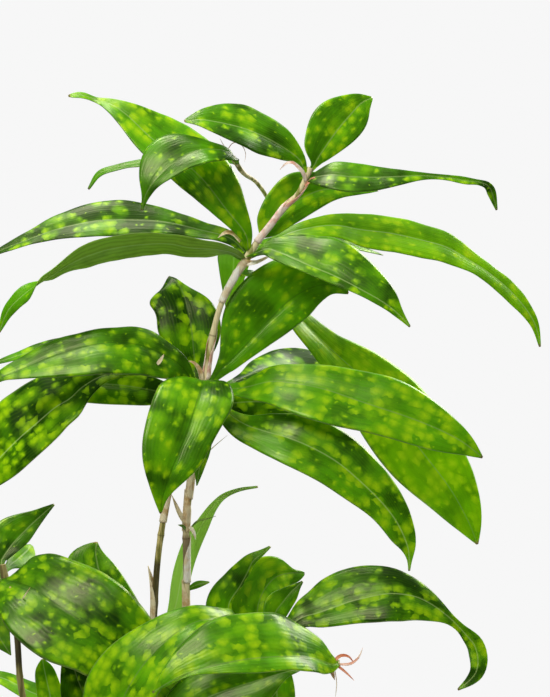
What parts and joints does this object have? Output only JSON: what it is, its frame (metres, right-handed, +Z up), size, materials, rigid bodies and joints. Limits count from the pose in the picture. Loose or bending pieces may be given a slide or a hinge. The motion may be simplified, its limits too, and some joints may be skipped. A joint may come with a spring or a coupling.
{
  "type": "potted houseplant",
  "caption": "Potted gold dust dracaena: thin upright canes with whorls of arching, pointed, gold-spotted leaves, in a plain tapered clay pot filled with soil.",
  "frame": {"origin": "centre of the pot's flat underside", "axes": "+Z up along the pot's axis, -Y toward the side that the picture shows, +X to the picture's right"},
  "size_m": [0.4109, 0.2129, 0.5832],
  "materials": {
    "fired_clay": "matt unglazed terracotta-coloured clay",
    "potting_mix": "loose, matt, dark brown potting mix with bark and pale grit",
    "cane_bark": "smooth olive to tan cane with papery sheaths",
    "leaf_blade": "leathery, glossy dark green with soft gold and lime spots"
  },
  "bodies": {
    "root": {"pot": "fired_clay", "soil": "potting_mix", "cane_main": "cane_bark", "cane_second": "cane_bark", "cane_left": "cane_bark", "cane_front": "cane_bark", "leaf_crown_upright": "leaf_blade", "leaf_crown_left": "leaf_blade", "leaf_crown_right": "leaf_blade", "leaf_twig_front": "leaf_blade", "leaf_twig_back": "leaf_blade", "leaf_upper_tall": "leaf_blade", "leaf_upper_upright": "leaf_blade", "leaf_upper_left": "leaf_blade", "leaf_upper_left_low": "leaf_blade", "leaf_upper_right_front": "leaf_blade", "leaf_upper_right_long": "leaf_blade", "leaf_upper_back_right": "leaf_blade", "leaf_upper_back_hanging": "leaf_blade", "leaf_upper_right_drooping": "leaf_blade", "leaf_middle_upright": "leaf_blade", "leaf_middle_back": "leaf_blade", "leaf_middle_left": "leaf_blade", "leaf_middle_left_back": "leaf_blade", "leaf_middle_left_drooping": "leaf_blade", "leaf_middle_left_under": "leaf_blade", "leaf_middle_front": "leaf_blade", "leaf_middle_right": "leaf_blade", "leaf_middle_right_drooping": "leaf_blade", "leaf_middle_right_back": "leaf_blade", "leaf_middle_right_under": "leaf_blade", "leaf_middle_hanging": "leaf_blade", "leaf_narrow_bright": "leaf_blade", "leaf_narrow_small": "leaf_blade", "leaf_left_broad": "leaf_blade", "leaf_left_upright": "leaf_blade", "leaf_left_back": "leaf_blade", "leaf_left_hanging": "leaf_blade", "leaf_left_outer": "leaf_blade", "leaf_low_back_upright": "leaf_blade", "leaf_low_left_thin": "leaf_blade", "leaf_low_left_pale": "leaf_blade", "leaf_low_left_shaded": "leaf_blade", "leaf_low_front": "leaf_blade", "leaf_low_right_long": "leaf_blade", "leaf_low_right_folded": "leaf_blade", "leaf_low_right_back": "leaf_blade", "leaf_low_right_young": "leaf_blade", "leaf_low_right_hanging": "leaf_blade", "leaf_front_arched": "leaf_blade", "leaf_front_under": "leaf_blade", "leaf_base_right": "leaf_blade", "leaf_base_back_right": "leaf_blade", "leaf_base_back_left": "leaf_blade", "leaf_base_left": "leaf_blade"}
  },
  "joints": []
}
